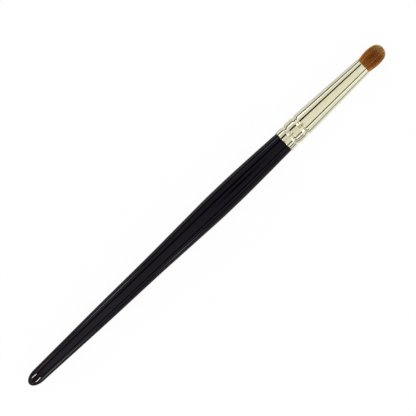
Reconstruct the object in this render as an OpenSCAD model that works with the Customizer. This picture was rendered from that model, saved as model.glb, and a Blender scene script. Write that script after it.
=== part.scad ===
// Eyeshadow brush: a turned wooden handle under black lacquer, a tapered metal
// ferrule with two rolled grooves, and a round, domed tuft of hair.
// The brush lies along X, butt at -X and hair at +X, with its belly on the ground.

/* [Handle] */
// Length of the handle that shows, from the butt to the ferrule's lip
handle_len = 122.4; // [105:0.2:150]
// Diameter of the handle where the rounded butt ends
butt_dia = 5.2; // [4:0.1:7]
// Length of the rounded butt
butt_round = 4.6; // [2.5:0.1:6]
// Diameter of the belly, the widest place
belly_dia = 9.2; // [8.8:0.1:12]
// Length of the straight stretch of the belly
belly_land = 5; // [3:0.5:10]
// Distance from the middle of the belly to the ferrule's lip
belly_back = 28.3; // [20:0.1:40]
// Diameter of the lacquered neck at the ferrule's lip
neck_dia = 7.9; // [7.2:0.1:8.3]
// Thickness of the lacquer, which is dipped on in several coats
lacquer = 0.16; // [0.1:0.02:0.24]

/* [Tenon] */
// Length of the tenon inside the ferrule, measured from the lip
tenon_len = 15; // [13:0.5:18]
// Chamfer round the end of the tenon
tenon_chamfer = 0.8; // [0.3:0.1:1.2]
// How far the lacquered neck reaches in under the lip
neck_cover = 0.8; // [0.3:0.1:1]
// Gap all round between the lacquered neck and the ferrule
neck_gap = 0.05; // [0.02:0.01:0.1]

/* [Ferrule] */
// Length of the ferrule
ferrule_len = 38.2; // [36:0.1:46]
// Thickness of its wall
ferrule_wall = 0.3; // [0.2:0.02:0.4]
// Outer diameter at the mouth that holds the hair
mouth_dia = 6.35; // [6:0.05:7.5]
// Width of the ring between the lip and the first groove
lip_ring = 2.2; // [1.2:0.1:3]
// Width of the first groove with its long, rounded shoulders
first_groove_width = 2.4; // [1.8:0.1:3]
// Depth of the first groove
first_groove_depth = 0.34; // [0.2:0.02:0.4]
// Share of the first groove's width that lies between its start and its deepest place
first_groove_share = 0.36; // [0.3:0.01:0.7]
// Width of the ring between the two grooves
second_ring = 1.9; // [1:0.1:3]
// Width of the second groove with its long, rounded shoulders
second_groove_width = 2.7; // [1.8:0.1:3.2]
// Depth of the second groove
second_groove_depth = 0.32; // [0.2:0.02:0.4]
// Share of the second groove's width that lies between its start and its deepest place
second_groove_share = 0.55; // [0.3:0.01:0.7]
// Length of the straight stretch between the second groove and the taper
taper_land = 0.4; // [0.1:0.1:1]
// Radius that breaks the outer edge at the lip and at the mouth
edge_round = 0.08; // [0.05:0.01:0.18]

/* [Hair] */
// Length of hair that shows beyond the mouth
hair_len = 9.4; // [7:0.1:13]
// Diameter of the tuft where it is fullest
tuft_dia = 6.68; // [5.8:0.02:8]
// Distance from the mouth to the fullest place
bulge_at = 4.1; // [3:0.1:5]
// Number of strands
hair_count = 360; // [300:10:500]
// Share of the room between two neighbours that a strand fills
hair_fill_share = 0.86; // [0.5:0.01:0.92]

/* [Hair root] */
// Depth of the resin's face below the mouth
resin_depth = 2.5; // [1.5:0.1:4]
// Thickness of the resin slice that the strands grow from
slice_len = 0.6; // [0.4:0.1:1]
// Length of the resin plug under that slice
resin_len = 9; // [8:0.5:10]
// Diameter of the binding thread
thread_dia = 0.35; // [0.25:0.05:0.4]
// Number of turns of the thread
thread_turns = 5; // [3:1:5]
// Gap between one turn and the next
turn_gap = 0.45; // [0.42:0.01:0.5]
// Gap that keeps the thread and the hair root clear of what surrounds them
root_gap = 0.02; // [0.01:0.01:0.04]

/* [Hidden] */
$fn = 96;

// Back of the handle, from the rounded butt to the belly: shares of the length and of the swelling
back_shares = [[0, 0], [0.36, 0.375], [0.64, 0.575], [0.845, 0.835], [1, 1]];
// Front of the handle, from the belly to the neck: shares of the length and of the narrowing
front_shares = [[0, 0], [0.52, 0.41], [1, 1]];
// Slope of the front at the neck, as a share of its mean slope
neck_slope_share = 1.2;
// Power of a groove's outline: more leaves its shoulders longer and its bottom narrower
groove_power = 2;
// Power of the dome's outline: 2 is an ellipse, more is fuller
dome_power = 3.2;
// How far the strands draw together between the fullest place and their tips
gather_share = 0.9;
// Angle from one strand to the next, which spreads them evenly over a round bundle
golden_angle = 180 * (3 - sqrt(5));
// Least distance between two such strands, as a share of the bundle's radius over the root of their number
spacing_share = 1.54;

// Steps in the curved stretches of the outlines, and sides and rings of the faceted pieces
curve_steps = 6;
butt_steps = 10;
groove_steps = 10;
edge_steps = 3;
thread_sides = 6;
rings_per_turn = 24;
strand_sides = 3;
slice_sides = 48;

butt_r = butt_dia / 2;
belly_r = belly_dia / 2;
neck_r = neck_dia / 2;
mouth_r = mouth_dia / 2;
tuft_r = tuft_dia / 2;
thread_r = thread_dia / 2;
lip_r = neck_r + neck_gap + ferrule_wall;
// The adhesive fills the depth that the lacquer leaves free on the tenon, and the neck's gap
glue_film = lacquer + neck_gap;
overall_len = handle_len + ferrule_len + hair_len;

belly_end = handle_len - belly_back + belly_land / 2;
belly_start = belly_end - belly_land;
second_groove_at = lip_ring + first_groove_width + second_ring;
straight_len = second_groove_at + second_groove_width + taper_land;
// Where each groove starts, is deepest and ends, and its depth
function groove(at, width, share, depth) = [at, at + share * width, at + width, depth];
grooves = [
    groove(lip_ring, first_groove_width, first_groove_share, first_groove_depth),
    groove(second_groove_at, second_groove_width, second_groove_share, second_groove_depth)
];
mouth_at = handle_len + ferrule_len;
slice_at = ferrule_len - resin_depth - slice_len;
resin_at = slice_at - resin_len;
turn_pitch = thread_dia + turn_gap;
winding_len = thread_turns * turn_pitch;
waist_len = winding_len + 2 * thread_dia;
waist_at = resin_at + (resin_len - waist_len) / 2;

// Outline of the turned handle

// Slope at station i of a curve, from its neighbours on both sides
function slope(stations, i) = let (a = stations[i - 1], b = stations[i + 1]) (b[1] - a[1]) / (b[0] - a[0]);

// Cubic from a to b that leaves with slope_a and arrives with slope_b, at share u of the way
function cubic(a, b, slope_a, slope_b, u) = let (run = b[0] - a[0]) [
    a[0] + run * u,
    (2 * pow(u, 3) - 3 * pow(u, 2) + 1) * a[1] + (pow(u, 3) - 2 * pow(u, 2) + u) * run * slope_a
        + (3 * pow(u, 2) - 2 * pow(u, 3)) * b[1] + (pow(u, 3) - pow(u, 2)) * run * slope_b
];

// Smooth curve through all stations, without its first point
function curve(stations, first_slope, last_slope) = let (last = len(stations) - 1) [
    for (i = [0:last - 1]) for (k = [1:curve_steps]) cubic(
        stations[i], stations[i + 1],
        i == 0 ? first_slope : slope(stations, i),
        i == last - 1 ? last_slope : slope(stations, i + 1),
        k / curve_steps
    )
];

// The handle's outline from the tip of the butt to the lip, as [radius, distance from the butt]
function handle_points(inset) = concat(
    [for (i = [0:butt_steps]) let (a = 90 * i / butt_steps)
        [(butt_r - inset) * sin(a), butt_round - (butt_round - inset) * cos(a)]],
    [for (p = curve(back_shares, 1, 0))
        [butt_r - inset + p[1] * (belly_r - butt_r), butt_round + p[0] * (belly_start - butt_round)]],
    [[belly_r - inset, belly_end]],
    [for (p = curve(front_shares, 0, neck_slope_share))
        [belly_r - inset - p[1] * (belly_r - neck_r), belly_end + p[0] * (handle_len - belly_end)]]
);

// Outline of the ferrule, by distance s from the lip

function groove_dip(s, groove) =
    let (wall = (s < groove[1] ? groove[0] : groove[2]) - groove[1], off = (s - groove[1]) / wall)
    off < 1 ? groove[3] * pow((1 + cos(180 * off)) / 2, groove_power) : 0;

function taper_dip(s) = max(0, s - straight_len) / (ferrule_len - straight_len) * (lip_r - mouth_r);

function sleeve_r(s) = lip_r - taper_dip(s) - groove_dip(s, grooves[0]) - groove_dip(s, grooves[1]);

function bore_r(s) = sleeve_r(s) - ferrule_wall;

// Places where the outline bends: both grooves, and the start of the taper
bends = concat(
    [for (groove = grooves) for (wall = [0, 1]) for (i = [wall:groove_steps])
        groove[wall] + (groove[wall + 1] - groove[wall]) * i / groove_steps],
    [straight_len]
);

function reversed(list) = [for (i = [len(list) - 1:-1:0]) list[i]];

// Every place on the stretch between two places where an outline that follows the ferrule has a corner
function stretch(from, to) = concat([from], [for (s = bends) if (s > from && s < to) s], [to]);

// Turns an outline of [radius, distance from the butt] about the brush's axis
module turned(points) {
    translate([-overall_len / 2, 0, belly_r])
        rotate([0, 90, 0]) rotate_extrude() polygon(points);
}

// Birch handle with its tenon, which is rolled into the ferrule's grooves
module handle_core() {
    end_at = handle_len + tenon_len;
    end_r = bore_r(tenon_len) - glue_film - tenon_chamfer;
    color("burlywood") turned(concat(
        handle_points(lacquer),
        [for (s = stretch(neck_cover, tenon_len - tenon_chamfer)) [bore_r(s) - glue_film, handle_len + s]],
        [[end_r, end_at], [0, end_at]]
    ));
}

// Gloss black lacquer over the whole handle, ending just under the lip
module handle_lacquer() {
    neck_end = handle_len + neck_cover;
    color([0.1, 0.09, 0.11]) turned(concat(
        handle_points(0),
        [[neck_r, neck_end], [neck_r - lacquer, neck_end]],
        reversed(handle_points(lacquer))
    ));
}

// Film of adhesive between the tenon and the ferrule
module tenon_glue() {
    places = stretch(neck_cover, tenon_len - tenon_chamfer);
    color("wheat") turned(concat(
        [for (s = places) [bore_r(s), handle_len + s]],
        [for (s = reversed(places)) [bore_r(s) - glue_film, handle_len + s]]
    ));
}

// Drawn sleeve of plated brass, with its outer edges broken
module ferrule() {
    corner = [for (i = [0:edge_steps - 1]) let (a = 90 * i / edge_steps)
        [edge_round * (1 - sin(a)), edge_round * (1 - cos(a))]];
    mouth_edge_r = sleeve_r(ferrule_len - edge_round);
    color([0.85, 0.83, 0.72]) turned(concat(
        [for (c = corner) [lip_r - c[0], handle_len + c[1]]],
        [for (s = stretch(edge_round, ferrule_len - edge_round)) [sleeve_r(s), handle_len + s]],
        [for (c = reversed(corner)) [mouth_edge_r - c[0], mouth_at - c[1]]],
        [for (s = reversed(stretch(0, ferrule_len))) [bore_r(s), handle_len + s]]
    ));
}

// Radius of the plug's waist, which leaves room for the thread inside the ferrule's bore
waist_r = bore_r(slice_at) - thread_dia - 2 * root_gap;

// Resin plug that holds the hair's roots in the ferrule, with a waist where the bundle is tied
module root_resin() {
    color([0.78, 0.6, 0.3]) turned([for (p = [
        [0, resin_at], [bore_r(resin_at), resin_at],
        [bore_r(waist_at), waist_at], [waist_r, waist_at],
        [waist_r, waist_at + waist_len], [bore_r(waist_at + waist_len), waist_at + waist_len],
        [bore_r(slice_at), slice_at], [0, slice_at]
    ]) [p[0], handle_len + p[1]]]);
}

// Middle line of the thread: a helix round the waist, in turns
winding_r = waist_r + root_gap + thread_r;
winding_at = handle_len + waist_at + thread_dia;
function winding_point(turn) = [
    winding_at + turn * turn_pitch, winding_r * cos(360 * turn), winding_r * sin(360 * turn)
];
function winding_way(turn) = let (
    round_way = 2 * PI * winding_r,
    way = [turn_pitch, -round_way * sin(360 * turn), round_way * cos(360 * turn)]
) way / norm(way);
winding = [for (i = [0:thread_turns * rings_per_turn]) winding_point(i / rings_per_turn)];

// Least gap between the thread and its own neighbouring turns, measured on its points
thread_self_gap = min([
    for (i = [0:len(winding) - 1]) for (j = [i + rings_per_turn / 2:1:len(winding) - 1])
        norm(winding[i] - winding[j]) - thread_dia
]);
echo(thread_self_gap = thread_self_gap);

// Ring of the thread's surface at a turn, carried ahead along its straight end
function thread_ring(turn, ahead) = let (
    way = winding_way(turn), out = [0, cos(360 * turn), sin(360 * turn)], side = cross(way, out)
) [for (k = [0:thread_sides - 1]) let (a = 360 * k / thread_sides)
    winding_point(turn) + ahead * way + thread_r * (cos(a) * out + sin(a) * side)];

// Triangles of a tube's wall between rings of a number of sides
function wall_faces(rings, sides, first) = [
    for (i = [0:rings - 2]) for (k = [0:sides - 1]) let (
        a = first + i * sides + k, b = first + i * sides + (k + 1) % sides
    ) each [[a, a + sides, b], [b, a + sides, b + sides]]
];
function fan(ids) = [for (i = [1:len(ids) - 2]) [ids[0], ids[i], ids[i + 1]]];

// Thread that ties the bundle of hair, one unbroken tube with straight ends
module binding_thread() {
    rings = concat(
        [thread_ring(0, -thread_dia)],
        [for (i = [0:thread_turns * rings_per_turn]) thread_ring(i / rings_per_turn, 0)],
        [thread_ring(thread_turns, thread_dia)]
    );
    last = (len(rings) - 1) * thread_sides;
    color("ivory") translate([-overall_len / 2, 0, belly_r]) polyhedron(
        points = [for (ring = rings) each ring],
        faces = concat(
            fan([for (k = [0:thread_sides - 1]) k]),
            wall_faces(len(rings), thread_sides, 0),
            fan([for (k = [thread_sides - 1:-1:0]) last + k])
        )
    );
}

// Distance beyond the mouth at which the dome has a given radius
function dome_at(r) = bulge_at + (hair_len - bulge_at) * pow(1 - pow(r / tuft_r, 2), 1 / dome_power);

// How far out in the bundle strand n stands, so that each strand has an equal share of the room
function strand_share(n) = sqrt((n + 1 / 2) / hair_count);

// Radius of each strand where the whole bundle has a given radius
function strand_r(bundle_r) = hair_fill_share * spacing_share * bundle_r / sqrt(hair_count) / 2;

// Where the strands have a ring of corners, as [distance from the butt, radius of the bundle there]
bundle = let (root_r = bore_r(ferrule_len) - root_gap) [
    [mouth_at - resin_depth - slice_len / 2, root_r], [mouth_at, root_r], [mouth_at + bulge_at, tuft_r]
];

// Corners of one strand: its rings, then its tip on the dome
function strand_points(n) = let (
    share = strand_share(n), a = golden_angle * n,
    out = [0, cos(a), sin(a)],
    tip_r = share * gather_share * tuft_r
) concat(
    [for (b = bundle) for (k = [0:strand_sides - 1]) let (turn = a + 360 * k / strand_sides)
        [b[0], 0, 0] + share * (b[1] - strand_r(b[1])) * out + strand_r(b[1]) * [0, cos(turn), sin(turn)]],
    [[mouth_at + dome_at(tip_r), 0, 0] + tip_r * out]
);

function strand_faces(first) = let (top = first + (len(bundle) - 1) * strand_sides) concat(
    fan([for (k = [0:strand_sides - 1]) first + k]),
    wall_faces(len(bundle), strand_sides, first),
    [for (k = [0:strand_sides - 1]) [top + (k + 1) % strand_sides, top + k, top + strand_sides]]
);

// Hair of the tuft, rooted in a slice of resin
module hair_tuft() {
    strands = [for (n = [0:hair_count - 1]) strand_points(n)];
    slice_start = handle_len + slice_at;
    color([0.5, 0.31, 0.14]) translate([-overall_len / 2, 0, belly_r]) {
        polyhedron(
            points = [for (strand = strands) each strand],
            faces = [for (n = [0:hair_count - 1]) each strand_faces(n * len(strands[0]))]
        );
        translate([slice_start, 0, 0]) rotate([0, 90, 0])
            cylinder(h = slice_len, r = bore_r(ferrule_len - resin_depth) - root_gap, $fn = slice_sides);
    }
}

handle_core();
handle_lacquer();
tenon_glue();
ferrule();
root_resin();
binding_thread();
hair_tuft();
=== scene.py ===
import math

import bpy
import numpy as np
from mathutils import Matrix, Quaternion, Vector


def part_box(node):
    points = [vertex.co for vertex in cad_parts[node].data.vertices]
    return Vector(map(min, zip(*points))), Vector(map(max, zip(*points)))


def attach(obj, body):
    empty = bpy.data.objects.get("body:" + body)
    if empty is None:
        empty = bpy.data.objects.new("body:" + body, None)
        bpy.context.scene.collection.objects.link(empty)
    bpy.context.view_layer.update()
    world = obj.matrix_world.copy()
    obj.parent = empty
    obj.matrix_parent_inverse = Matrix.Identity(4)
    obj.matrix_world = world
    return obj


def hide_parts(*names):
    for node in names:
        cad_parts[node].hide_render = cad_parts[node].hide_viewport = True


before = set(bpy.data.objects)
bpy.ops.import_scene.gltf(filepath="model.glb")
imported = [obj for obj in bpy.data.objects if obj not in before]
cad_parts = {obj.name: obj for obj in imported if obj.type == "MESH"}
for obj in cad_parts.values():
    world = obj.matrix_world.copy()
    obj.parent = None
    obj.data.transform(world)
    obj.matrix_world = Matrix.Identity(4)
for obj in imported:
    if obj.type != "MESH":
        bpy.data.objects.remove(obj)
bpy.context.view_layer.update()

# ---- Handle core ---------------------------------------------------------------------------------
# The handle is one stick of birch, turned on a lathe together with its tenon, sanded and sealed.
# The lacquer and the ferrule hide it, so its turned solid stays and takes the finish of the wood.

MM = 0.001
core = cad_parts["handle_core"]


def linear(colour):
    """The linear colour, as the nodes want it, of an sRGB hex colour."""
    shares = [int(colour[i:i + 2], 16) / 255 for i in (1, 3, 5)]
    return [s / 12.92 if s <= 0.04045 else ((s + 0.055) / 1.055) ** 2.4 for s in shares] + [1]


def add_node(tree, kind, inputs=None, stops=(), **settings):
    """Adds a node. Its inputs take a value, or a link where a socket is given. Stops are the places
    and colours of a ramp: the first two use the stops that it has, and the rest are added."""
    made = tree.nodes.new("ShaderNode" + kind)
    for name, value in settings.items():
        setattr(made, name, value)
    for name, value in (inputs or {}).items():
        if isinstance(value, bpy.types.NodeSocket):
            tree.links.new(value, made.inputs[name])
        else:
            made.inputs[name].default_value = value
    for i, (at, colour) in enumerate(stops):
        stop = made.color_ramp.elements[i] if i < 2 else made.color_ramp.elements.new(at)
        stop.position, stop.color = at, linear(colour)
    return made


def new_finish(name):
    """Starts a finish, and returns it with its node tree, its shader and the place on the brush."""
    finish = bpy.data.materials.new(name)
    finish.use_nodes = True
    tree = finish.node_tree
    return finish, tree, tree.nodes["Principled BSDF"], add_node(tree, "TexCoord").outputs["Object"]


def apply_finish(piece, finish):
    piece.data.materials.clear()
    piece.data.materials.append(finish)


# Sanded birch: pale, satin and close-grained. Its fibres run along the stick as fine streaks, and
# the growth rings cross it as soft bands about 1.5 mm apart.
FIBRE_LENGTH, FIBRE_WIDTH = 9 * MM, 0.15 * MM
GROWTH_RING = 1.5 * MM
# A wave texture's rings lie this far apart at scale 1
WAVE_SPACING = math.pi / 10
# How far the tree's heart lay from the middle of the stick
HEART_OFFSET = 20 * MM

birch, tree, shader, place = new_finish("sanded_birch")
along_stick = add_node(tree, "Mapping", {
    "Vector": place, "Scale": (1 / FIBRE_LENGTH, 1 / FIBRE_WIDTH, 1 / FIBRE_WIDTH)})
fibres = add_node(tree, "TexNoise", {
    "Vector": along_stick.outputs["Vector"], "Scale": 1, "Detail": 3})
from_heart = add_node(tree, "Mapping", {"Vector": place, "Location": (0, HEART_OFFSET, 0)})
growth = add_node(tree, "TexWave", {
    "Vector": from_heart.outputs["Vector"], "Scale": WAVE_SPACING / GROWTH_RING,
    "Distortion": 1.5, "Detail": 2, "Detail Scale": 40}, wave_type="RINGS", rings_direction="X")
figure = add_node(tree, "Mix", {
    0: 0.65, 2: growth.outputs["Fac"], 3: fibres.outputs["Fac"]}, data_type="FLOAT")
wood_colour = add_node(tree, "ValToRGB", {"Fac": figure.outputs[0]}, stops=[
    (0.2, "#C49C66"), (0.8, "#EBD6AE"), (0.5, "#DDC08E")])
wood_relief = add_node(tree, "Bump", {
    "Height": fibres.outputs["Fac"], "Strength": 0.3, "Distance": 0.02 * MM})
tree.links.new(wood_colour.outputs["Color"], shader.inputs["Base Color"])
tree.links.new(wood_relief.outputs["Normal"], shader.inputs["Normal"])
shader.inputs["Roughness"].default_value = 0.55
apply_finish(core, birch)

# ---- Handle lacquer ------------------------------------------------------------------------------
# Several coats of black lacquer, dipped on and polished, cover the whole stick from the rounded
# butt to just under the ferrule's lip. The skin is turned to the handle's outline and given its
# thickness.

BUTT_END, MOUTH_END = -85 * MM, 75.6 * MM
AXIS_HEIGHT = 4.6 * MM
HANDLE_LENGTH = 122.4 * MM
BUTT_RADIUS, BUTT_ROUND = 2.6 * MM, 4.6 * MM
BELLY_RADIUS, BELLY_START, BELLY_END = 4.6 * MM, 91.6 * MM, 96.6 * MM
NECK_RADIUS, NECK_COVER = 3.95 * MM, 0.8 * MM
LACQUER = 0.16 * MM
SIDES = 128
WELD = 0.001 * MM

# Shares of the length and of the change in radius: from the butt to the belly, and from the belly
# to the neck, which it meets at a slope
BACK_SWELL = [(0, 0), (0.36, 0.375), (0.64, 0.575), (0.845, 0.835), (1, 1)]
FRONT_FALL = [(0, 0), (0.52, 0.41), (1, 1)]
NECK_SLOPE = 1.2
CURVE_STEPS = 9


def smooth_curve(stations, first_slope, last_slope):
    """Cubic curve through stations, which takes each middle slope from its neighbours."""
    slopes = [first_slope] + [(b[1] - a[1]) / (b[0] - a[0])
                              for a, b in zip(stations, stations[2:])] + [last_slope]
    points = []
    for (x0, y0), (x1, y1), s0, s1 in zip(stations, stations[1:], slopes, slopes[1:]):
        run = x1 - x0
        for k in range(1, CURVE_STEPS + 1):
            u = k / CURVE_STEPS
            y = ((2 * u**3 - 3 * u**2 + 1) * y0 + (3 * u**2 - 2 * u**3) * y1
                 + (u**3 - 2 * u**2 + u) * run * s0 + (u**3 - u**2) * run * s1)
            points.append((x0 + run * u, y))
    return points


def draw_and_spin(name, outline):
    """Draws an outline of (distance from the butt, radius), point by point from one vertex, and
    spins it about the brush's axis."""
    bpy.ops.object.select_all(action="DESELECT")
    start, radius = outline[0]
    bpy.ops.mesh.primitive_plane_add(size=MM, location=(BUTT_END + start, 0, AXIS_HEIGHT + radius))
    piece = bpy.context.object
    piece.name = piece.data.name = name
    bpy.ops.object.transform_apply()
    bpy.ops.object.mode_set(mode="EDIT")
    bpy.ops.mesh.merge(type="CENTER")
    for (x0, r0), (x1, r1) in zip(outline, outline[1:]):
        bpy.ops.mesh.extrude_region_move(TRANSFORM_OT_translate={"value": (x1 - x0, 0, r1 - r0)})
    bpy.ops.mesh.select_all(action="SELECT")
    bpy.ops.mesh.spin(steps=SIDES, angle=2 * math.pi, center=(0, 0, AXIS_HEIGHT), axis=(1, 0, 0))
    bpy.ops.mesh.select_all(action="SELECT")
    bpy.ops.mesh.remove_doubles(threshold=WELD)
    bpy.ops.mesh.normals_make_consistent(inside=False)
    bpy.ops.object.mode_set(mode="OBJECT")
    return piece


def finish_modifier(piece, kind, **settings):
    """Adds a modifier with its settings and applies it."""
    modifier = piece.modifiers.new(kind.title(), kind)
    for name, value in settings.items():
        setattr(modifier, name, value)
    bpy.context.view_layer.objects.active = piece
    bpy.ops.object.modifier_apply(modifier=modifier.name)


def smooth_by_angle(piece, degrees):
    bpy.ops.object.select_all(action="DESELECT")
    piece.select_set(True)
    bpy.context.view_layer.objects.active = piece
    bpy.ops.object.shade_smooth_by_angle(angle=math.radians(degrees))


# The butt is a quarter of an oval, which stops where it has the slope of the handle
BUTT_ARC, BUTT_STEPS = math.radians(87.7), 24
handle_outline = []
for i in range(BUTT_STEPS + 1):
    a = BUTT_ARC * i / BUTT_STEPS
    handle_outline.append((BUTT_ROUND * (1 - math.cos(a)), BUTT_RADIUS * math.sin(a)))
for x, swell in smooth_curve(BACK_SWELL, 1, 0):
    handle_outline.append((BUTT_ROUND + x * (BELLY_START - BUTT_ROUND),
                           BUTT_RADIUS + swell * (BELLY_RADIUS - BUTT_RADIUS)))
handle_outline.append((BELLY_END, BELLY_RADIUS))
for x, fall in smooth_curve(FRONT_FALL, 0, NECK_SLOPE):
    handle_outline.append((BELLY_END + x * (HANDLE_LENGTH - BELLY_END),
                           BELLY_RADIUS - fall * (BELLY_RADIUS - NECK_RADIUS)))
handle_outline.append((HANDLE_LENGTH + NECK_COVER, NECK_RADIUS))

lacquer_coat = draw_and_spin("lacquer_coat", handle_outline)
finish_modifier(lacquer_coat, "SOLIDIFY", thickness=LACQUER, offset=-1, use_even_offset=True)
smooth_by_angle(lacquer_coat, 40)

# Gloss black lacquer: near black under a clear, wet-looking surface. Dipping leaves long, very low
# waves along the stick, and handling leaves the faintest patches of haze.
DIP_WAVE_LENGTH, DIP_WAVE_WIDTH = 14 * MM, 2.2 * MM
HAZE_PATCH = 6 * MM

black_lacquer, tree, shader, place = new_finish("gloss_black_lacquer")
drawn_out = add_node(tree, "Mapping", {
    "Vector": place, "Scale": (1 / DIP_WAVE_LENGTH, 1 / DIP_WAVE_WIDTH, 1 / DIP_WAVE_WIDTH)})
dip_waves = add_node(tree, "TexNoise", {
    "Vector": drawn_out.outputs["Vector"], "Scale": 1, "Detail": 1})
haze = add_node(tree, "TexNoise", {"Vector": place, "Scale": 1 / HAZE_PATCH, "Detail": 4})
polish = add_node(tree, "MapRange", {"Value": haze.outputs["Fac"], "To Min": 0.03, "To Max": 0.06})
depth_colour = add_node(tree, "ValToRGB", {"Fac": haze.outputs["Fac"]}, stops=[
    (0.35, "#050307"), (0.7, "#060509")])
waves = add_node(tree, "Bump", {
    "Height": dip_waves.outputs["Fac"], "Strength": 0.5, "Distance": 0.001 * MM})
tree.links.new(depth_colour.outputs["Color"], shader.inputs["Base Color"])
tree.links.new(polish.outputs["Result"], shader.inputs["Roughness"])
tree.links.new(waves.outputs["Normal"], shader.inputs["Normal"])
shader.inputs["IOR"].default_value = 1.225
shader.inputs["Specular Tint"].default_value = linear("#FAF0FF")
apply_finish(lacquer_coat, black_lacquer)

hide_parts("handle_lacquer")
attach(lacquer_coat, "root")

# ---- Hair tuft -----------------------------------------------------------------------------------
# Some thousands of sable hairs, cupped so that their own fine tips form the dome, never cut. They
# stand in the resin, fill the mouth of the ferrule, swell to the tuft's belly and close in again.

HAIRS = 6000
HAIR_RADIUS = 0.042 * MM
MOUTH_BORE_RADIUS = 2.86 * MM
TUFT_RADIUS, TUFT_BULGE, TUFT_LENGTH = 3.34 * MM, 4.1 * MM, 9.4 * MM
ROOT_DEPTH = 2.8 * MM
# How square the dome is, how steeply the bundle leaves the mouth, how late it closes in again, and
# the share of its radius that is left at the tips
DOME_POWER, MOUTH_SLOPE, CLOSING_POWER, GATHER = 3.2, 0.1, 2.2, 0.9
# How far single hairs stray: in angle, in length, in how short some stay, and to the side in a slow
# wave, whose rate is in radians per metre
ANGLE_STRAY, LENGTH_STRAY, SHORT_STRAY, SIDE_STRAY = 0.004, 0.09 * MM, 0.08 * MM, 0.035 * MM
WAVE_RATE = 700
# How many locks lie round the tuft, in waves on top of each other, how far they turn from its heart
# to its skin, and how far hairs lean into them
LOCK_WAVES, LOCK_TOTAL, LOCK_TURN, LOCK_LEAN = (5, 8, 13, 19, 27), 2.2, 9, 0.05
# Shares of a hair's tone: painted rim light and shade by its side, its lock, and itself
RIM_LIGHT_SHARE, LOCK_SHADE, OWN_SHADE = 0.2, 0.16, 0.08
GOLDEN_ANGLE = math.pi * (3 - math.sqrt(5))
hair_chance = np.random.default_rng(11)

# One hair: a three-sided tube along X, 1 m long until it is placed, thick as in life, with a long
# fine tip. Rows of (share of its length, share of its thickness).
HAIR_RINGS = [(0, 1), (0.14, 1), (0.28, 1.04), (0.42, 1.08), (0.56, 1.05), (0.7, 0.9), (0.82, 0.68),
              (0.92, 0.42), (1, 0.12)]
bpy.ops.object.select_all(action="DESELECT")
bpy.ops.mesh.primitive_circle_add(vertices=3, radius=HAIR_RADIUS, rotation=(0, math.pi / 2, 0))
hair = bpy.context.object
bpy.ops.object.transform_apply()
bpy.ops.object.mode_set(mode="EDIT")
bpy.ops.mesh.select_all(action="SELECT")
for (x0, width0), (x1, width1) in zip(HAIR_RINGS, HAIR_RINGS[1:]):
    bpy.ops.mesh.extrude_region_move(TRANSFORM_OT_translate={"value": (x1 - x0, 0, 0)})
    bpy.ops.transform.resize(value=(1, width1 / width0, width1 / width0))
bpy.ops.mesh.select_all(action="SELECT")
bpy.ops.mesh.fill_holes(sides=3)
bpy.ops.mesh.normals_make_consistent(inside=False)
bpy.ops.object.mode_set(mode="OBJECT")


def dome_at(radius):
    """Distance beyond the mouth at which the dome has this radius."""
    inside = np.clip(1 - (radius / TUFT_RADIUS) ** 2, 0, 1)
    return TUFT_BULGE + (TUFT_LENGTH - TUFT_BULGE) * inside ** (1 / DOME_POWER)


def bundle_radius(x, tip):
    """Radius of the whole bundle at a distance beyond the mouth, for hairs that end at tip."""
    u = np.clip(x / TUFT_BULGE, 0, 1)
    swelling = (3 * u**2 - 2 * u**3) * (TUFT_RADIUS - MOUTH_BORE_RADIUS)
    swelling += (u**3 - 2 * u**2 + u) * TUFT_BULGE * MOUTH_SLOPE
    closing = np.clip((x - TUFT_BULGE) / (tip - TUFT_BULGE), 0, 1) ** CLOSING_POWER
    return (MOUTH_BORE_RADIUS + swelling) * (1 - (1 - GATHER) * closing)


hair_numbers = np.arange(HAIRS)
hair_share = np.sqrt((hair_numbers + 0.5) / HAIRS)
hair_angle = hair_numbers * GOLDEN_ANGLE + hair_chance.normal(0, ANGLE_STRAY, HAIRS)
hair_cut = hair_chance.normal(0, LENGTH_STRAY, HAIRS)
hair_cut = hair_cut - np.abs(hair_chance.normal(0, SHORT_STRAY, HAIRS))
hair_wave = hair_chance.normal(0, 1, (HAIRS, 2)) * SIDE_STRAY
hair_phase = hair_chance.uniform(0, 2 * math.pi, HAIRS)
hair_turn = hair_chance.uniform(0, 2 * math.pi, HAIRS)
# Neighbouring hairs lean together into locks, which show as streaks from the ferrule to the dome.
# Each wave of them has a size and a start of its own.
locks = sum(
    math.sin(1.7 * k + 0.6) * np.sin(k * hair_angle + 3.1 * k * k + LOCK_TURN * hair_share)
    for k in LOCK_WAVES) / LOCK_TOTAL
# Painted rim light and shade: the hair is paler along the sides and darker on top and underneath
painted_rim_light = -np.cos(2 * (hair_angle - math.pi / 2))
hair_tone_and_rim_light = 0.5 + RIM_LIGHT_SHARE * painted_rim_light + LOCK_SHADE * locks
hair_tone_and_rim_light = np.clip(hair_tone_and_rim_light + hair_chance.normal(0, OWN_SHADE, HAIRS), 0, 1)


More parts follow.
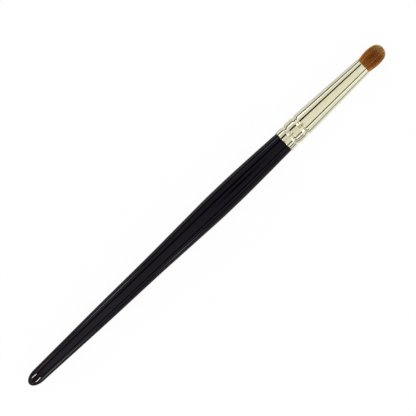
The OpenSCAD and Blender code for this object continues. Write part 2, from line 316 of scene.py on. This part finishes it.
def bundle(name, first, last):
    """Copies the hair to its places in the tuft, from one number to another, as one piece."""
    per_hair = len(hair.data.vertices)
    one_hair = np.empty(per_hair * 3)
    hair.data.vertices.foreach_get("co", one_hair)
    along, aside, up = one_hair.reshape(1, per_hair, 3).transpose(2, 0, 1)
    pick = slice(first, last)
    share, angle = hair_share[pick, None], hair_angle[pick, None]
    tip = dome_at(share * GATHER * TUFT_RADIUS) + hair_cut[pick, None]
    x = -ROOT_DEPTH + along * (tip + ROOT_DEPTH)
    r = share * (bundle_radius(x, tip) - HAIR_RADIUS)
    free = np.clip(x / TUFT_LENGTH, 0, 1)
    lean = LOCK_LEAN * locks[pick, None] * free**2
    spread = free * np.sin(hair_phase[pick, None] + WAVE_RATE * x)
    y = r * np.cos(angle + lean) + hair_wave[pick, :1] * spread
    z = r * np.sin(angle + lean) + hair_wave[pick, 1:] * spread
    c, s = np.cos(hair_turn[pick, None]), np.sin(hair_turn[pick, None])
    y = y + aside * c - up * s
    z = z + aside * s + up * c
    corners = np.stack([MOUTH_END + x, y, AXIS_HEIGHT + z], -1).reshape(-1, 3)
    faces = [[i * per_hair + v for v in face.vertices] for i in range(last - first)
             for face in hair.data.polygons]
    mesh = bpy.data.meshes.new(name)
    mesh.from_pydata(corners.tolist(), [], faces)
    # The shade attribute holds each hair's own tone, with the painted rim light and shade of its
    # side
    shade = mesh.attributes.new("shade", "FLOAT", "POINT")
    shade.data.foreach_set("value", np.repeat(hair_tone_and_rim_light[pick], per_hair).astype(np.float32))
    mesh.shade_smooth()
    piece = bpy.data.objects.new(name, mesh)
    bpy.context.scene.collection.objects.link(piece)
    return piece


tuft_pieces = [bundle("tuft_hair_inner", 0, HAIRS // 2),
               bundle("tuft_hair_outer", HAIRS // 2, HAIRS)]
bpy.data.objects.remove(hair)

# The close-packed hair behind the outer ones: a filled bundle that lies a little inside them, less
# so at the mouth, and sinks further below the tips towards the middle of the dome
HAIR_BED, BED_GAP, BED_SINK = 0.16 * MM, 0.05 * MM, 0.45 * MM
BED_AT_MOUTH = 0.3
BED_RINGS = 14
bed_outline = [(0, 0), (0, MOUTH_BORE_RADIUS - BED_GAP)]
for x in (0, 0.25, 0.5, 0.75, 1):
    under = HAIR_BED * min(1, BED_AT_MOUTH + x)
    bed_outline.append((ROOT_DEPTH + x * TUFT_BULGE,
                        float(bundle_radius(x * TUFT_BULGE, TUFT_LENGTH)) - under))
for i in range(1, BED_RINGS + 1):
    inward = math.cos(math.pi / 2 * i / BED_RINGS)
    over_mouth = float(dome_at(inward * TUFT_RADIUS)) - BED_SINK * i / BED_RINGS
    bed_outline.append((ROOT_DEPTH + over_mouth, inward * (TUFT_RADIUS - HAIR_BED)))
bed_outline = [(MOUTH_END - BUTT_END - ROOT_DEPTH + x, max(r, 0)) for x, r in bed_outline]
hair_bed = draw_and_spin("tuft_hair_bed", bed_outline)
smooth_by_angle(hair_bed, 60)
tuft_pieces.append(hair_bed)

# Sable hair: red-brown, satin, each hair a little lighter or darker than the next, with paler,
# finer tips. At this size the eye gets fine streaks along the hair rather than single hairs.
STREAK_LENGTH, STREAK_WIDTH = 7 * MM, 0.14 * MM
# Where the lighter hair near the mouth gives way to the body's colour, and that to the pale tips
ROOTS_FADE = MOUTH_END - 0.5 * MM, MOUTH_END + 3 * MM
TIPS_PALE = MOUTH_END + 5.6 * MM, MOUTH_END + 9.5 * MM

sable, tree, shader, place = new_finish("red_brown_sable")
combed = add_node(tree, "Mapping", {
    "Vector": place, "Scale": (1 / STREAK_LENGTH, 1 / STREAK_WIDTH, 1 / STREAK_WIDTH)})
streaks = add_node(tree, "TexNoise", {"Vector": combed.outputs["Vector"], "Scale": 1, "Detail": 2})
# Each hair's tone, which carries the painted rim light and shade of the tuft's sides
tone_and_rim_light_attribute = add_node(tree, "Attribute", attribute_name="shade")
mixed = add_node(tree, "Mix", {
    0: 0.4, 2: tone_and_rim_light_attribute.outputs["Fac"], 3: streaks.outputs["Fac"]}, data_type="FLOAT")
root_colour = add_node(tree, "ValToRGB", {"Fac": mixed.outputs[0]}, stops=[
    (0.3, "#8E5020"), (0.7, "#E0A250")])
body_colour = add_node(tree, "ValToRGB", {"Fac": mixed.outputs[0]}, stops=[
    (0.3, "#743816"), (0.7, "#C8903E"), (0.5, "#9E6028")])
tip_colour = add_node(tree, "ValToRGB", {"Fac": mixed.outputs[0]}, stops=[
    (0.3, "#A67A3C"), (0.7, "#E8C482")])
split = add_node(tree, "SeparateXYZ", {"Vector": place})
off_root = add_node(tree, "MapRange", {
    "Value": split.outputs["X"], "From Min": ROOTS_FADE[0], "From Max": ROOTS_FADE[1]},
    interpolation_type="SMOOTHSTEP")
near_tip = add_node(tree, "MapRange", {
    "Value": split.outputs["X"], "From Min": TIPS_PALE[0], "From Max": TIPS_PALE[1]},
    interpolation_type="SMOOTHSTEP")
lower_colour = add_node(tree, "Mix", {
    0: off_root.outputs["Result"], 6: root_colour.outputs["Color"],
    7: body_colour.outputs["Color"]}, data_type="RGBA")
hair_colour = add_node(tree, "Mix", {
    0: near_tip.outputs["Result"], 6: lower_colour.outputs[2], 7: tip_colour.outputs["Color"]},
    data_type="RGBA")
tree.links.new(hair_colour.outputs[2], shader.inputs["Base Color"])
shader.inputs["Roughness"].default_value = 0.45
shader.inputs["IOR"].default_value = 1.3
shader.inputs["Specular Tint"].default_value = linear("#F0B468")
for piece in tuft_pieces:
    apply_finish(piece, sable)
    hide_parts("hair_tuft")
    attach(piece, "root")

# ---- Binding thread ------------------------------------------------------------------------------
# Waxed thread of three twisted plies, wound five turns round the bundle of hair to tie it before it
# is set in the ferrule. It lies in the waist of the resin plug, out of sight.

THREAD_TURNS, TURN_PITCH = 5, 0.8 * MM
PLIES, TWIST_LENGTH = 3, 1.5 * MM
thread_low, thread_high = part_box("binding_thread")
THREAD_RADIUS = 0.175 * MM
# Three plies that just touch, and then press into each other
PLY_SQUEEZE = 1.08
PLY_RADIUS = THREAD_RADIUS / (1 + 2 / math.sqrt(3)) * PLY_SQUEEZE
WINDING_RADIUS = (thread_high.y - thread_low.y) / 2 - THREAD_RADIUS
WINDING_START = thread_low.x + THREAD_RADIUS
STEPS_PER_TURN = 60

bpy.ops.object.select_all(action="DESELECT")
thread_curve = bpy.data.curves.new("thread_plies", "CURVE")
thread_curve.dimensions = "3D"
thread_curve.bevel_depth = PLY_RADIUS
thread_curve.bevel_resolution = 1
thread_curve.use_fill_caps = True
turn_length = math.hypot(2 * math.pi * WINDING_RADIUS, TURN_PITCH)
for ply in range(PLIES):
    strand = thread_curve.splines.new("POLY")
    steps = THREAD_TURNS * STEPS_PER_TURN
    strand.points.add(steps)
    for i in range(steps + 1):
        turn = i / STEPS_PER_TURN
        a = 2 * math.pi * turn
        twist = 2 * math.pi * (turn * turn_length / TWIST_LENGTH + ply / PLIES)
        out = WINDING_RADIUS + (THREAD_RADIUS - PLY_RADIUS) * math.cos(twist)
        ahead = (THREAD_RADIUS - PLY_RADIUS) * math.sin(twist)
        strand.points[i].co = (WINDING_START + turn * TURN_PITCH + ahead,
                               out * math.cos(a), AXIS_HEIGHT + out * math.sin(a), 1)
binding = bpy.data.objects.new("thread_plies", thread_curve)
bpy.context.scene.collection.objects.link(binding)
binding.select_set(True)
bpy.context.view_layer.objects.active = binding
bpy.ops.object.convert(target="MESH")
bpy.ops.object.shade_smooth()

# Waxed cotton: off-white and satin, with its short fibres as fine specks, lighter and darker.
COTTON_FIBRE = 0.05 * MM

waxed_cotton, tree, shader, place = new_finish("waxed_cotton")
cotton = add_node(tree, "TexNoise", {"Vector": place, "Scale": 1 / COTTON_FIBRE, "Detail": 2})
cotton_colour = add_node(tree, "ValToRGB", {"Fac": cotton.outputs["Fac"]}, stops=[
    (0.3, "#CFC4A6"), (0.7, "#EFE8D4")])
cotton_relief = add_node(tree, "Bump", {
    "Height": cotton.outputs["Fac"], "Strength": 0.4, "Distance": 0.01 * MM})
tree.links.new(cotton_colour.outputs["Color"], shader.inputs["Base Color"])
tree.links.new(cotton_relief.outputs["Normal"], shader.inputs["Normal"])
shader.inputs["Roughness"].default_value = 0.5
apply_finish(binding, waxed_cotton)

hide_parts("binding_thread")
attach(binding, "root")

# ---- Root resin ----------------------------------------------------------------------------------
# Amber resin, poured round the tied roots inside the ferrule, holds the hair for good. It can't be
# seen from outside, so its cast solid stays and takes the finish of the resin.

RESIN_CLOUD = 1.2 * MM
BUBBLE = 0.3 * MM

amber_resin, tree, shader, place = new_finish("cast_amber_resin")
clouds = add_node(tree, "TexNoise", {"Vector": place, "Scale": 1 / RESIN_CLOUD, "Detail": 3})
bubbles = add_node(tree, "TexVoronoi", {"Vector": place, "Scale": 1 / BUBBLE})
resin_colour = add_node(tree, "ValToRGB", {"Fac": clouds.outputs["Fac"]}, stops=[
    (0.3, "#9A6A2C"), (0.7, "#C99A52")])
resin_relief = add_node(tree, "Bump", {
    "Height": bubbles.outputs["Distance"], "Strength": 0.3, "Distance": 0.03 * MM})
tree.links.new(resin_colour.outputs["Color"], shader.inputs["Base Color"])
tree.links.new(resin_relief.outputs["Normal"], shader.inputs["Normal"])
shader.inputs["Roughness"].default_value = 0.25
shader.inputs["IOR"].default_value = 1.55
apply_finish(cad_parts["root_resin"], amber_resin)

# ---- Ferrule -------------------------------------------------------------------------------------
# A sleeve of thin brass tube, drawn to a taper and nickel-plated. Two grooves are rolled in near
# its lip to grip the tenon, and its edges are broken. The outline is turned and given the wall.

FERRULE_LENGTH, FERRULE_WALL = 38.2 * MM, 0.3 * MM
LIP_RADIUS, MOUTH_RADIUS = 4.3 * MM, 3.175 * MM
# Where each groove starts, is deepest and ends, and its depth. The power rounds its shoulders.
GROOVES = [(2.2 * MM, 3.064 * MM, 4.6 * MM, 0.34 * MM),
           (6.5 * MM, 7.985 * MM, 9.2 * MM, 0.32 * MM)]
GROOVE_POWER = 2
GROOVE_STEPS, TAPER_STEPS = 16, 8
TAPER_START = 9.6 * MM
EDGE_BREAK = 0.08 * MM


def sleeve_radius(s):
    """Outer radius of the ferrule at a distance from its lip."""
    radius = LIP_RADIUS - max(0, s - TAPER_START) / (FERRULE_LENGTH - TAPER_START) * (
        LIP_RADIUS - MOUTH_RADIUS)
    for start, bottom, end, depth in GROOVES:
        off = (s - bottom) / ((start if s < bottom else end) - bottom)
        if off < 1:
            radius -= depth * ((1 + math.cos(math.pi * off)) / 2) ** GROOVE_POWER
    return radius


# Rings close to the ends and past the start of the taper, which keep the shine even there
SUPPORT = 0.15 * MM
sleeve_places = [0, SUPPORT, TAPER_START + SUPPORT, FERRULE_LENGTH - SUPPORT, FERRULE_LENGTH]
for start, bottom, end, _ in GROOVES:
    sleeve_places += [start + (bottom - start) * i / GROOVE_STEPS for i in range(GROOVE_STEPS)]
    sleeve_places += [bottom + (end - bottom) * i / GROOVE_STEPS for i in range(GROOVE_STEPS + 1)]
sleeve_places += [TAPER_START + (FERRULE_LENGTH - TAPER_START) * i / TAPER_STEPS
                  for i in range(TAPER_STEPS)]
ferrule = draw_and_spin("ferrule_sleeve", [
    (HANDLE_LENGTH + s, sleeve_radius(s)) for s in sorted(sleeve_places)])
finish_modifier(ferrule, "SOLIDIFY", thickness=FERRULE_WALL, offset=-1, use_even_offset=True)
finish_modifier(ferrule, "BEVEL", width=EDGE_BREAK, segments=2, limit_method="ANGLE",
                angle_limit=math.radians(60))
smooth_by_angle(ferrule, 50)

# Polished nickel plate over drawn brass: bright, with a warm champagne cast. Drawing and polishing
# leave faint lines along the sleeve, and handling leaves it a shade duller in patches.
DRAW_LINE, DRAW_LENGTH = 0.06 * MM, 5 * MM
TARNISH_PATCH = 1.5 * MM

nickel, tree, shader, place = new_finish("polished_nickel_plate")
drawn = add_node(tree, "Mapping", {
    "Vector": place, "Scale": (1 / DRAW_LENGTH, 1 / DRAW_LINE, 1 / DRAW_LINE)})
lines = add_node(tree, "TexNoise", {"Vector": drawn.outputs["Vector"], "Scale": 1, "Detail": 2})
patches = add_node(tree, "TexNoise", {"Vector": place, "Scale": 1 / TARNISH_PATCH, "Detail": 3})
plate_colour = add_node(tree, "ValToRGB", {"Fac": patches.outputs["Fac"]}, stops=[
    (0.3, "#DBD5B3"), (0.7, "#E1DCBE")])
brushed = add_node(tree, "MapRange", {
    "Value": lines.outputs["Fac"], "To Min": 0.05, "To Max": 0.12})
line_relief = add_node(tree, "Bump", {
    "Height": lines.outputs["Fac"], "Strength": 0.04, "Distance": 0.001 * MM})
tree.links.new(plate_colour.outputs["Color"], shader.inputs["Base Color"])
tree.links.new(brushed.outputs["Result"], shader.inputs["Roughness"])
tree.links.new(line_relief.outputs["Normal"], shader.inputs["Normal"])
shader.inputs["Metallic"].default_value = 1
apply_finish(ferrule, nickel)

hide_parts("ferrule")
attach(ferrule, "root")

# ---- Tenon glue ----------------------------------------------------------------------------------
# A film of two-part adhesive holds the tenon in the ferrule. It is squeezed thin between wood and
# brass, out of sight, so its solid stays and takes the finish of the cured adhesive.

GLUE_CLOUD = 0.8 * MM

cured_glue, tree, shader, place = new_finish("cured_adhesive")
clouds = add_node(tree, "TexNoise", {"Vector": place, "Scale": 1 / GLUE_CLOUD, "Detail": 3})
glue_colour = add_node(tree, "ValToRGB", {"Fac": clouds.outputs["Fac"]}, stops=[
    (0.3, "#CDBB86"), (0.7, "#E2D6AC")])
tree.links.new(glue_colour.outputs["Color"], shader.inputs["Base Color"])
shader.inputs["Roughness"].default_value = 0.4
shader.inputs["IOR"].default_value = 1.5
apply_finish(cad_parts["tenon_glue"], cured_glue)

# ---- Studio --------------------------------------------------------------------------------------
# The brush lies on white paper inside a round tent of white cloth that is lit from outside. The
# camera looks straight down on it through a long lens, turned so that the brush runs up to the
# right.

PHOTO_WIDTH = 144.83 * MM
CAMERA_HEIGHT = 3.0
SENSOR_WIDTH, VIEW_DEPTH = 36, 50
VIEW_CENTRE = (2.38 * MM, 1.53 * MM)
BRUSH_SLANT = 43.6

camera_data = bpy.data.cameras.new("camera")
camera_data.sensor_fit = "HORIZONTAL"
camera_data.sensor_width = SENSOR_WIDTH
camera_data.lens = SENSOR_WIDTH * CAMERA_HEIGHT / PHOTO_WIDTH
camera_data.clip_end = VIEW_DEPTH
camera = bpy.data.objects.new("camera", camera_data)
camera.location = (*VIEW_CENTRE, CAMERA_HEIGHT + AXIS_HEIGHT)
camera.rotation_euler = (0, 0, -math.radians(BRUSH_SLANT))
bpy.context.scene.collection.objects.link(camera)
bpy.context.scene.camera = camera
bpy.context.scene.view_settings.view_transform = "Standard"

world = bpy.data.worlds.new("soft_white")
bpy.context.scene.world = world
world.use_nodes = True
daylight = world.node_tree.nodes["Background"]
daylight.inputs["Color"].default_value = (1, 1, 1, 1)
daylight.inputs["Strength"].default_value = 1

# White paper. The camera sees it nearly as bright as paper can be, and the gloss less so. The rest
# is its own colour in the light, which keeps the brush's shadow. Its fibres are drawn coarse.
FLOOR_SIZE = 12
CAMERA_SHARE, GLOSS_SHARE = 0.95, 0.42
PAPER_FIBRE = 2.5 * MM

bpy.ops.object.select_all(action="DESELECT")
bpy.ops.mesh.primitive_plane_add(size=FLOOR_SIZE, location=(0, 0, 0))
floor = bpy.context.object
floor.name = "floor"

paper, tree, shader, place = new_finish("white_paper")
rays = add_node(tree, "LightPath")
to_camera = add_node(tree, "Math", {0: rays.outputs["Is Camera Ray"], 1: CAMERA_SHARE},
                     operation="MULTIPLY")
to_gloss = add_node(tree, "Math", {
    0: rays.outputs["Is Glossy Ray"], 1: GLOSS_SHARE, 2: to_camera.outputs[0]},
    operation="MULTIPLY_ADD")
through_glass = add_node(tree, "Math", {
    0: rays.outputs["Is Transmission Ray"], 1: to_gloss.outputs[0]}, operation="MAXIMUM")
paper_fibres = add_node(tree, "TexNoise", {"Vector": place, "Scale": 1 / PAPER_FIBRE})
paper_colour = add_node(tree, "ValToRGB", {"Fac": paper_fibres.outputs["Fac"]}, stops=[
    (0.3, "#F7F7F5"), (0.7, "#FBFBFA")])
white = add_node(tree, "Emission", {"Strength": 1})
shown = add_node(tree, "MixShader", {
    0: through_glass.outputs[0], 1: shader.outputs["BSDF"], 2: white.outputs["Emission"]})
tree.links.new(paper_colour.outputs["Color"], shader.inputs["Base Color"])
tree.links.new(shown.outputs["Shader"], tree.nodes["Material Output"].inputs["Surface"])
shader.inputs["Roughness"].default_value = 0.9
apply_finish(floor, paper)

# The tent is there for the gloss alone: neither the camera nor the light on the brush meets it. It
# ends just over the paper.
TENT_RADIUS, TENT_LENGTH, TENT_SIDES = 0.5, 4, 96
OVER_PAPER = 0.1 * MM


def only_in_gloss(thing):
    thing.visible_camera = thing.visible_diffuse = thing.visible_shadow = False
    thing.visible_transmission = thing.visible_volume_scatter = False


bpy.ops.object.select_all(action="DESELECT")
bpy.ops.mesh.primitive_cylinder_add(
    vertices=TENT_SIDES, radius=TENT_RADIUS, depth=TENT_LENGTH, end_fill_type="NOTHING",
    location=(0, 0, AXIS_HEIGHT), rotation=(0, math.pi / 2, 0))
tent = bpy.context.object
tent.name = "light_tent"
bpy.ops.object.transform_apply()
bpy.ops.object.mode_set(mode="EDIT")
bpy.ops.mesh.select_all(action="SELECT")
bpy.ops.mesh.bisect(plane_co=(0, 0, OVER_PAPER), plane_no=(0, 0, 1), clear_inner=True)
bpy.ops.object.mode_set(mode="OBJECT")
only_in_gloss(tent)

# Tent cloth. Rows of (degrees from the top, towards -Y, brightness there, and its tint): the cloth
# is even and neutral overhead, and cooler low down, where daylight comes through it.
ARCH = [(-90, 0.93, "#F0F4FF"), (-78, 1.0, "#F0F4FF"), (-60, 0.95, "#FCFCFF"),
        (-45, 0.97, "#FFFFFF"), (0, 1.0, "#FFFFFF"), (25, 1.07, "#FFFFFF"), (45, 1.1, "#FAFBFF"),
        (60, 1.25, "#EEF2FF"), (90, 1.3, "#F0F4FF")]
# Rows of (distance along the tent, share of that brightness): dim beyond the butt, brightest over
# it, and nearly even from the middle of the handle on
ALONG = [(-0.3, 0.8), (-0.13, 0.8), (-0.112, 1.75), (-0.076, 1.65), (-0.056, 1.25),
         (-0.025, 0.9), (0.05, 0.9), (0.09, 1.0), (0.2, 1.0)]
ALONG_END = 0.5
MOST_GLOW = 1.8

tent_cloth, tree, _, place = new_finish("tent_cloth")
split = add_node(tree, "SeparateXYZ", {"Vector": place})
above_axis = add_node(tree, "Math", {
    0: split.outputs["Z"], 1: AXIS_HEIGHT}, operation="SUBTRACT")
angle = add_node(tree, "Math", {
    0: split.outputs["Y"], 1: above_axis.outputs[0]}, operation="ARCTAN2")
arch_share = add_node(tree, "MapRange", {
    "Value": angle.outputs[0], "From Min": math.pi / 2, "From Max": -math.pi / 2})
along_share = add_node(tree, "MapRange", {
    "Value": split.outputs["X"], "From Min": -ALONG_END, "From Max": ALONG_END})
arch_glow = add_node(tree, "ValToRGB", {"Fac": arch_share.outputs["Result"]}, stops=[
    (0.5 + degrees / 180, tint) for degrees, _, tint in ARCH])
for stop, (degrees, glow, tint) in zip(arch_glow.color_ramp.elements, ARCH):
    stop.color = [c * glow / MOST_GLOW for c in linear(tint)[:3]] + [1]
along_glow = add_node(tree, "ValToRGB", {"Fac": along_share.outputs["Result"]}, stops=[
    (0.5 + x / 2 / ALONG_END, "#FFFFFF") for x, _ in ALONG])
for stop, (x, glow) in zip(along_glow.color_ramp.elements, ALONG):
    stop.color = [glow / MOST_GLOW] * 3 + [1]
cloth_colour = add_node(tree, "Mix", {
    0: 1, 6: arch_glow.outputs["Color"], 7: along_glow.outputs["Color"]},
    data_type="RGBA", blend_type="MULTIPLY")
cloth_glow = add_node(tree, "Emission", {
    "Color": cloth_colour.outputs[2], "Strength": MOST_GLOW * MOST_GLOW})
tree.links.new(cloth_glow.outputs["Emission"], tree.nodes["Material Output"].inputs["Surface"])
apply_finish(tent, tent_cloth)

# A strip hangs in front of those before it: the first at this share of the tent's radius, and each
# next one a step nearer. A few hang close to the brush instead, so that they light only the stretch
# beneath them, and the ferrule's grooves don't mirror them.
FIRST_REACH, REACH_STEP = 0.98, 0.01
NEAR_REACH, SHADE_REACH = 0.06, 0.12
hung = []


def hang_flat(name, centre, turn, size, strength, colour):
    """Hangs a flat lamp or card, which only the gloss sees. Returns its node tree, its glow and the
    place on it."""
    bpy.ops.object.select_all(action="DESELECT")
    bpy.ops.mesh.primitive_plane_add(size=1, location=centre, rotation=turn)
    flat = bpy.context.object
    flat.name = name
    flat.scale = (*size, 1)
    bpy.ops.object.transform_apply()
    light, tree, _, place = new_finish(name)
    glow = add_node(tree, "Emission", {"Color": linear(colour), "Strength": strength})
    tree.links.new(glow.outputs["Emission"], tree.nodes["Material Output"].inputs["Surface"])
    apply_finish(flat, light)
    only_in_gloss(flat)
    return tree, glow, place


def show_share(tree, glow, share):
    """Shows a share of a glow, from 0 to 1, and lets rays past it for the rest."""
    clear = add_node(tree, "BsdfTransparent")
    part = add_node(tree, "MixShader", {
        0: share, 1: clear.outputs["BSDF"], 2: glow.outputs["Emission"]})
    tree.links.new(part.outputs["Shader"], tree.nodes["Material Output"].inputs["Surface"])


def strip(name, start, end, degrees, spread, strength, colour="#FFFFFF", fade=0.0, reach=None):
    """A lamp, panel or seam along the tent: from one distance to another, at an angle from the top
    towards -Y, as wide as it spreads in degrees, fading at both ends over a length. It hangs in
    order, or at a reach of its own from the brush's axis."""
    hung.append(name)
    reach = reach or TENT_RADIUS * (FIRST_REACH - REACH_STEP * len(hung))
    a = math.radians(degrees)
    middle, length = (start + end) / 2, end - start
    width = 2 * reach * math.tan(math.radians(spread / 2))
    tree, glow, place = hang_flat(
        name, (middle, -reach * math.sin(a), AXIS_HEIGHT + reach * math.cos(a)), (a, 0, 0),
        (length, width), strength, colour)
    if fade:
        split = add_node(tree, "SeparateXYZ", {"Vector": place})
        off = add_node(tree, "Math", {0: split.outputs["X"], 1: middle}, operation="SUBTRACT")
        away = add_node(tree, "Math", {0: off.outputs[0]}, operation="ABSOLUTE")
        cover = add_node(tree, "MapRange", {
            "Value": away.outputs[0], "From Min": length / 2, "From Max": length / 2 - fade})
        show_share(tree, glow, cover.outputs["Result"])


# Panels beyond the ends of the brush, which only the grooves' walls mirror to the camera: those
# that face the butt mirror the buff and the brown one, and those that face the tip the grey one
strip("box_panel", -0.54, -0.13, 6, 76, 0.9, "#EBD8B2")
strip("brown_panel", -1.8, -0.54, 5, 60, 0.4, "#B07830")
strip("grey_panel", 0.2, 1.8, 0, 50, 0.7, "#E4E8E0")
# Black seams of the tent, which give the dark lines along the ferrule
strip("seam_back", -0.15, 0.4, -38.5, 16, 0.0)
strip("seam_front", -0.4, 0.4, 49.5, 13, 0.1)
# Lamps beyond the ends, which give the white spots in the grooves. The first groove's wall that
# faces the tip is so steep that it mirrors the far parts of the tip's lamps.
strip("far_lamp_back", -1.6, -0.53, -39, 22, 5)
strip("far_lamp_front", -1.6, -0.53, 60, 24, 5)
strip("tip_lamp_back", 0.3, 0.6, -35.5, 21, 2.6)
strip("tip_lamp_front", 0.25, 0.6, 55.5, 18, 2.8)
strip("tip_lamp_back_far", 0.6, 1.8, -43, 22, 2.6)
strip("tip_lamp_front_far", 0.6, 1.8, 70, 18, 2.8)
# Low lamps behind the brush, which give the streak along its far side
strip("side_glow_butt", -0.6, -0.06, -77, 7, 2.0, "#F2F4FF")
strip("side_glow_back", -0.065, -0.029, -81, 7, 12, fade=0.012, reach=NEAR_REACH)
strip("side_glow_rings", 0.028, 0.056, -79, 4, 3.2, "#F2F4FF")
strip("side_glow_neck", 0.05, 0.083, -80, 6, 9, "#F2F4FF", fade=0.01)
strip("side_glow_tip", 0.083, 0.6, -77, 7, 1.6, "#F2F4FF")
# A lamp and grey lines in front of the brush, and low lamps that light the handle's near edge
strip("side_glow_front", -0.13, 0.14, 62, 7, 1.6, "#F8F4FF")
strip("grey_line", -0.6, 0.057, 80, 12, 0.12)
strip("grey_line_tip", 0.06, 0.1, 76, 6, 0.7, "#F0F4FF", fade=0.012)
strip("low_glow_butt", -0.106, -0.056, 86, 9, 18, fade=0.03, reach=NEAR_REACH)
strip("low_glow_middle", -0.031, -0.005, 86, 8, 9, fade=0.014, reach=NEAR_REACH)
# A warm lamp over the butt's far edge, the dark horizon behind the brush, and the camera's own
# shade over the front of the handle
strip("warm_edge", -0.0862, -0.0744, -68, 8, 10, "#FFC898", fade=0.004, reach=NEAR_REACH)
strip("horizon_back", -0.8, 0.8, -88, 4.5, 0.1)
strip("camera_shade", 0.0, 0.042, 0, 17, 0.0, fade=0.016, reach=SHADE_REACH)


def card(name, start, end, width, strength, colour, roll=0.0):
    """A straight card near the brush, from one point to another and rolled about that line by some
    degrees. It is lit on its underside alone, and seen only in the gloss."""
    start, end = Vector(start), Vector(end)
    turn = (end - start).to_track_quat("X", "Z") @ Quaternion((1, 0, 0), math.radians(roll))
    tree, glow, _ = hang_flat(name, (start + end) / 2, turn.to_euler(),
                              ((end - start).length, width), strength, colour)
    show_share(tree, glow, add_node(tree, "NewGeometry").outputs["Backfacing"])


# Two bars on edge beside the butt, lit towards it alone, and a slanted card beyond it that tints it
# warm between their mirror images
card("butt_bar_back", (-0.1, 0.0205, 0.0221), (-0.0835, 0.0168, 0.0263),
     0.0046, 200, "#F2FFF0", roll=-100)
card("butt_bar_front", (-0.0995, -0.0224, 0.0195), (-0.083, -0.0187, 0.0246),
     0.0046, 190, "#F2FFF0", roll=100)
card("warm_card", (-0.0922, 0.0003, 0.0223), (-0.1276, 0.0003, 0.0366), 0.028, 2.0, "#FF9A5A")


def floor_strip(name, start, end, near, far, strength, colour="#FAF8F0"):
    """A band on the paper beside the brush, seen only in the gloss: from one distance along it to
    another, and between two distances from its axis."""
    hang_flat(name, ((start + end) / 2, (near + far) / 2, OVER_PAPER), (0, 0, 0),
              (end - start, abs(far - near)), strength, colour)


# Bands on the paper, seen only in the gloss: darker ones further off, painted shade of the brush
# beside the handle, and cool ones beside the ferrule, painted light that its edges mirror
floor_strip("paper_dark_band_back", -0.3, 0.3, 0.034, 0.48, 0.12)
floor_strip("paper_dark_band_front", -0.3, 0.3, -0.02, -0.064, 0.35)
floor_strip("handle_shade_back", -0.1, 0.0372, 0.004, 0.015, 0.4)
floor_strip("handle_shade_front", -0.1, 0.0372, -0.004, -0.015, 0.36)
floor_strip("ferrule_cool_band_back", 0.0372, 0.08, 0.004, 0.015, 0.92, "#F0F4FF")
floor_strip("ferrule_cool_band_front", 0.0372, 0.08, -0.004, -0.013, 1.12, "#F0F4FF")
